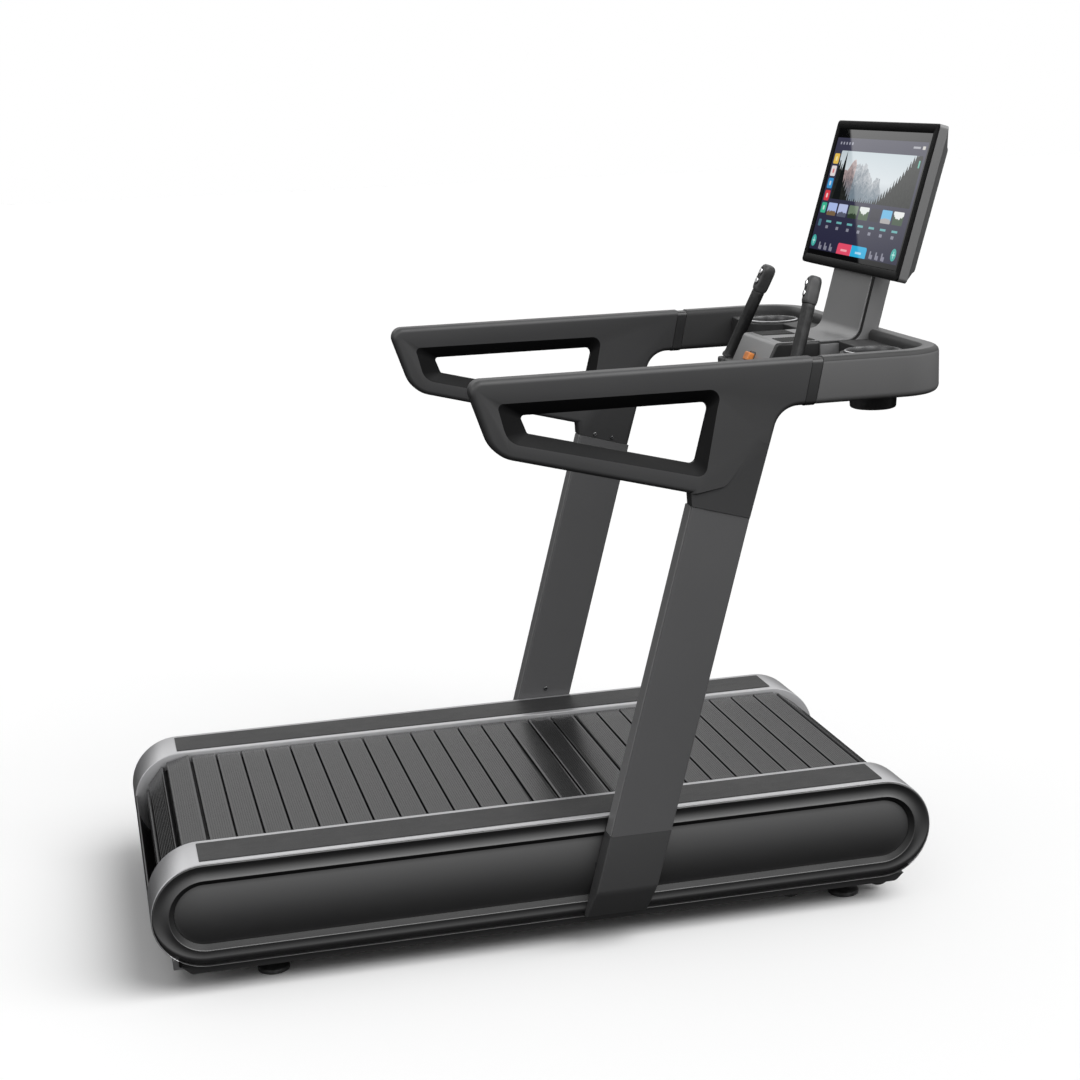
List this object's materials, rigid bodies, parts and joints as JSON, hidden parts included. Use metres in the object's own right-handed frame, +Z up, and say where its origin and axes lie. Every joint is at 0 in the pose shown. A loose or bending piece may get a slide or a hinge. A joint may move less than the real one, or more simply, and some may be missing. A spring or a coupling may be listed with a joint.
{
  "type": "treadmill",
  "caption": "Slat-belt treadmill with a flat deck, leaning side uprights, looped handles, a console ring with cup holders and grips, and a touch screen.",
  "frame": {"origin": "on the floor under the centre of the whole machine's bounding box", "axes": "+X towards the console end, +Y to the runner's left, +Z up"},
  "size_m": [1.7661, 0.934, 1.648],
  "materials": {
    "frame_steel": "satin",
    "drum_steel": "machined",
    "slat_rubber": "ribbed",
    "belt_rubber": "matte",
    "bracket_steel": "satin",
    "black_plastic": "fine grain",
    "grey_plastic": "fine grain",
    "pod_plastic": "satin",
    "mat_rubber": "ribbed",
    "key_plastic": "satin",
    "mast_paint": "satin paint",
    "bezel_plastic": "satin",
    "screen_glass": "gloss, picture behind",
    "band_aluminium": "satin",
    "cover_plastic": "satin",
    "strip_rubber": "rough grain",
    "upright_paint": "satin",
    "handle_plastic": "soft grain",
    "button_metal": "polished",
    "foot_rubber": "matte"
  },
  "bodies": {
    "machine": {"base_frame": "frame_steel", "slat_belt": "slat_rubber", "drive_belt": "belt_rubber", "brake_yoke": "bracket_steel", "front_guard": "black_plastic", "rear_guard": "black_plastic", "belly_pan": "black_plastic", "rear_lift_bar": "bracket_steel", "console_ring": "grey_plastic", "console_tray": "grey_plastic", "console_pod": "pod_plastic", "phone_mat": "mat_rubber", "mast": "mast_paint", "screen_frame": "bezel_plastic", "screen_glass": "screen_glass", "screen_rear_cover": "grey_plastic", "right_roller_rail": "drum_steel", "right_front_bearing": "bracket_steel", "right_rear_bearing": "bracket_steel", "right_rail_band": "band_aluminium", "right_side_cover": "cover_plastic", "right_side_panel": "cover_plastic", "right_foot_strip": "strip_rubber", "right_upright": "upright_paint", "right_upright_foot": "cover_plastic", "right_handle": "handle_plastic", "right_joint_collar": "black_plastic", "right_cup_holder": "black_plastic", "right_grip": "handle_plastic", "right_wheel_bracket": "bracket_steel", "left_roller_rail": "drum_steel", "left_front_bearing": "bracket_steel", "left_rear_bearing": "bracket_steel", "left_rail_band": "band_aluminium", "left_side_cover": "cover_plastic", "left_side_panel": "cover_plastic", "left_foot_strip": "strip_rubber", "left_upright": "upright_paint", "left_upright_foot": "cover_plastic", "left_handle": "handle_plastic", "left_joint_collar": "black_plastic", "left_cup_holder": "black_plastic", "left_grip": "handle_plastic", "left_wheel_bracket": "bracket_steel"},
    "front_drum": {"front_drum": "drum_steel"},
    "rear_drum": {"rear_drum": "drum_steel"},
    "brake_flywheel": {"brake_flywheel": "drum_steel"},
    "safety_key": {"safety_key": "key_plastic"},
    "right_grip_lower_button": {"right_grip_lower_button": "button_metal"},
    "right_grip_upper_button": {"right_grip_upper_button": "button_metal"},
    "right_transport_wheel_rear": {"right_transport_wheel_rear": "foot_rubber"},
    "right_transport_wheel_front": {"right_transport_wheel_front": "foot_rubber"},
    "right_rear_foot": {"right_rear_foot": "foot_rubber"},
    "right_front_foot": {"right_front_foot": "foot_rubber"},
    "left_grip_lower_button": {"left_grip_lower_button": "button_metal"},
    "left_grip_upper_button": {"left_grip_upper_button": "button_metal"},
    "left_transport_wheel_rear": {"left_transport_wheel_rear": "foot_rubber"},
    "left_transport_wheel_front": {"left_transport_wheel_front": "foot_rubber"},
    "left_rear_foot": {"left_rear_foot": "foot_rubber"},
    "left_front_foot": {"left_front_foot": "foot_rubber"}
  },
  "joints": [
    {"name": "front_drum_spin", "type": "hinge", "parent": "machine", "child": "front_drum", "pos_m": [0.6495, 0, 0.172], "axis": [0, 1, 0], "continuous": true},
    {"name": "rear_drum_spin", "type": "hinge", "parent": "machine", "child": "rear_drum", "pos_m": [-0.7555, 0, 0.172], "axis": [0, 1, 0], "continuous": true},
    {"name": "brake_flywheel_spin", "type": "hinge", "parent": "machine", "child": "brake_flywheel", "pos_m": [0.417, -0.36, 0.172], "axis": [0, 1, 0], "continuous": true},
    {"name": "safety_key_pull", "type": "slide", "parent": "machine", "child": "safety_key", "axis": [-0.9002, 0, 0.4356], "range_m": [0, 0.05]},
    {"name": "right_grip_lower_button_press", "type": "slide", "parent": "machine", "child": "right_grip_lower_button", "axis": [0.94, -0.0995, -0.3262], "range_m": [0, 0.0018], "stiffness_N_per_m": 600, "springref_m": -0.001},
    {"name": "right_grip_upper_button_press", "type": "slide", "parent": "machine", "child": "right_grip_upper_button", "axis": [0.94, -0.0995, -0.3262], "range_m": [0, 0.0018], "stiffness_N_per_m": 600, "springref_m": -0.001},
    {"name": "right_transport_wheel_rear_spin", "type": "hinge", "parent": "machine", "child": "right_transport_wheel_rear", "pos_m": [0.484, -0.338, 0.042], "axis": [0, 1, 0], "continuous": true},
    {"name": "right_transport_wheel_front_spin", "type": "hinge", "parent": "machine", "child": "right_transport_wheel_front", "pos_m": [0.689, -0.338, 0.042], "axis": [0, 1, 0], "continuous": true},
    {"name": "right_rear_foot_height", "type": "slide", "parent": "machine", "child": "right_rear_foot", "axis": [0, 0, 1], "range_m": [-0.012, 0]},
    {"name": "right_front_foot_height", "type": "slide", "parent": "machine", "child": "right_front_foot", "axis": [0, 0, 1], "range_m": [-0.012, 0]},
    {"name": "left_grip_lower_button_press", "type": "slide", "parent": "machine", "child": "left_grip_lower_button", "axis": [0.94, 0.0995, -0.3262], "range_m": [0, 0.0018], "stiffness_N_per_m": 600, "springref_m": -0.001},
    {"name": "left_grip_upper_button_press", "type": "slide", "parent": "machine", "child": "left_grip_upper_button", "axis": [0.94, 0.0995, -0.3262], "range_m": [0, 0.0018], "stiffness_N_per_m": 600, "springref_m": -0.001},
    {"name": "left_transport_wheel_rear_spin", "type": "hinge", "parent": "machine", "child": "left_transport_wheel_rear", "pos_m": [0.484, 0.338, 0.042], "axis": [0, 1, 0], "continuous": true},
    {"name": "left_transport_wheel_front_spin", "type": "hinge", "parent": "machine", "child": "left_transport_wheel_front", "pos_m": [0.689, 0.338, 0.042], "axis": [0, 1, 0], "continuous": true},
    {"name": "left_rear_foot_height", "type": "slide", "parent": "machine", "child": "left_rear_foot", "axis": [0, 0, 1], "range_m": [-0.012, 0]},
    {"name": "left_front_foot_height", "type": "slide", "parent": "machine", "child": "left_front_foot", "axis": [0, 0, 1], "range_m": [-0.012, 0]}
  ],
  "couplings": [
    {"joint": "rear_drum_spin", "follows": "front_drum_spin", "ratio": 1},
    {"joint": "brake_flywheel_spin", "follows": "front_drum_spin", "ratio": 2.2}
  ]
}
